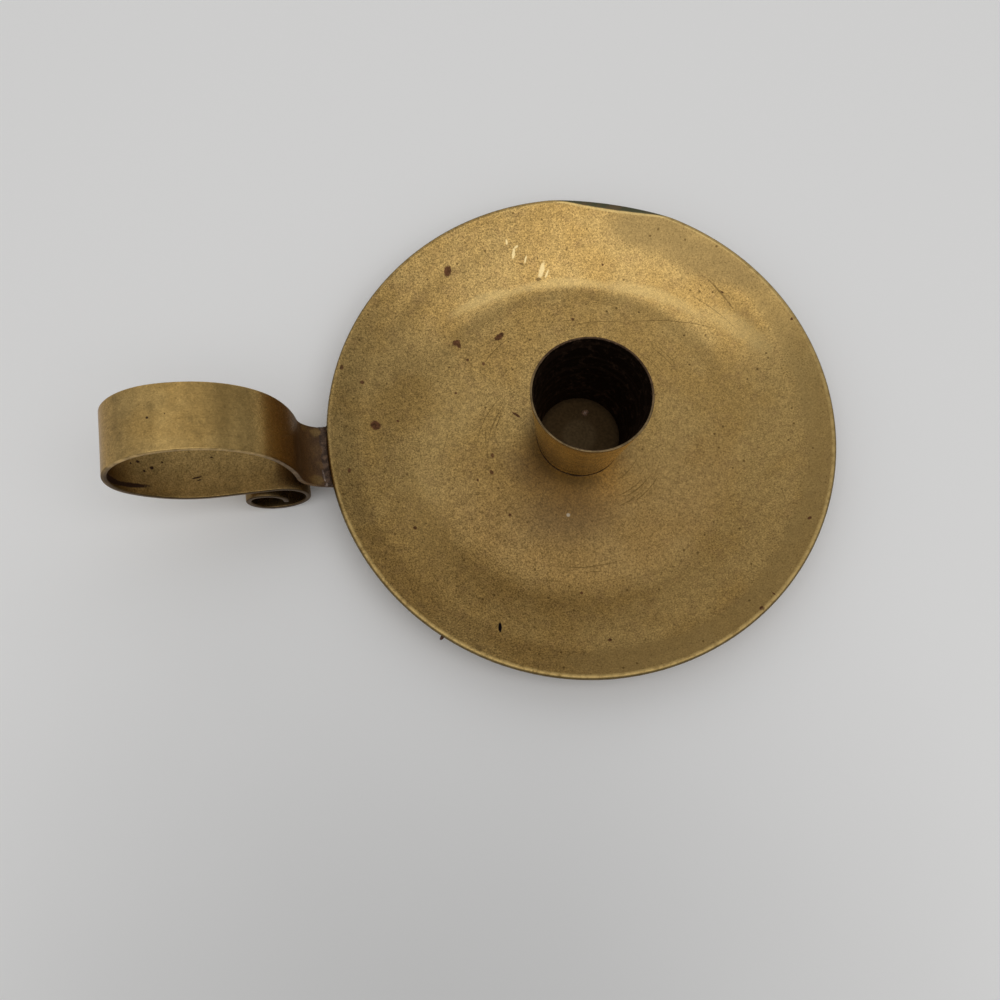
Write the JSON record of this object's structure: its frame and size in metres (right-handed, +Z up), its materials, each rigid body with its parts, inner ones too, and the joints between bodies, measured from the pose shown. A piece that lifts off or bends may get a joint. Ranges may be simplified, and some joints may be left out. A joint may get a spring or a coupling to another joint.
{
  "type": "chamberstick",
  "caption": "Round shallow drip pan with a raised brim, a tapered candle socket in its middle, and a flat strip handle bent into a finger loop with a scroll at its end.",
  "frame": {"origin": "centre of the pan's flat resting face, on the table", "axes": "+Z up along the pan's and the socket's axis; the handle points along -X; Y runs across the handle strip"},
  "size_m": [0.1391, 0.1016, 0.0384],
  "materials": {
    "pan_brass": "aged, dull, finely speckled, with scuffs round the socket",
    "socket_brass": "aged outside, sooty inside",
    "strip_brass": "worn smooth on the loop, heat-stained brown at the neck",
    "solder": "dark oxidised solder with brighter smears"
  },
  "bodies": {
    "root": {"drip_pan": "pan_brass", "candle_socket": "socket_brass", "socket_solder": "solder", "handle_strip": "strip_brass", "handle_solder": "solder"}
  },
  "joints": []
}
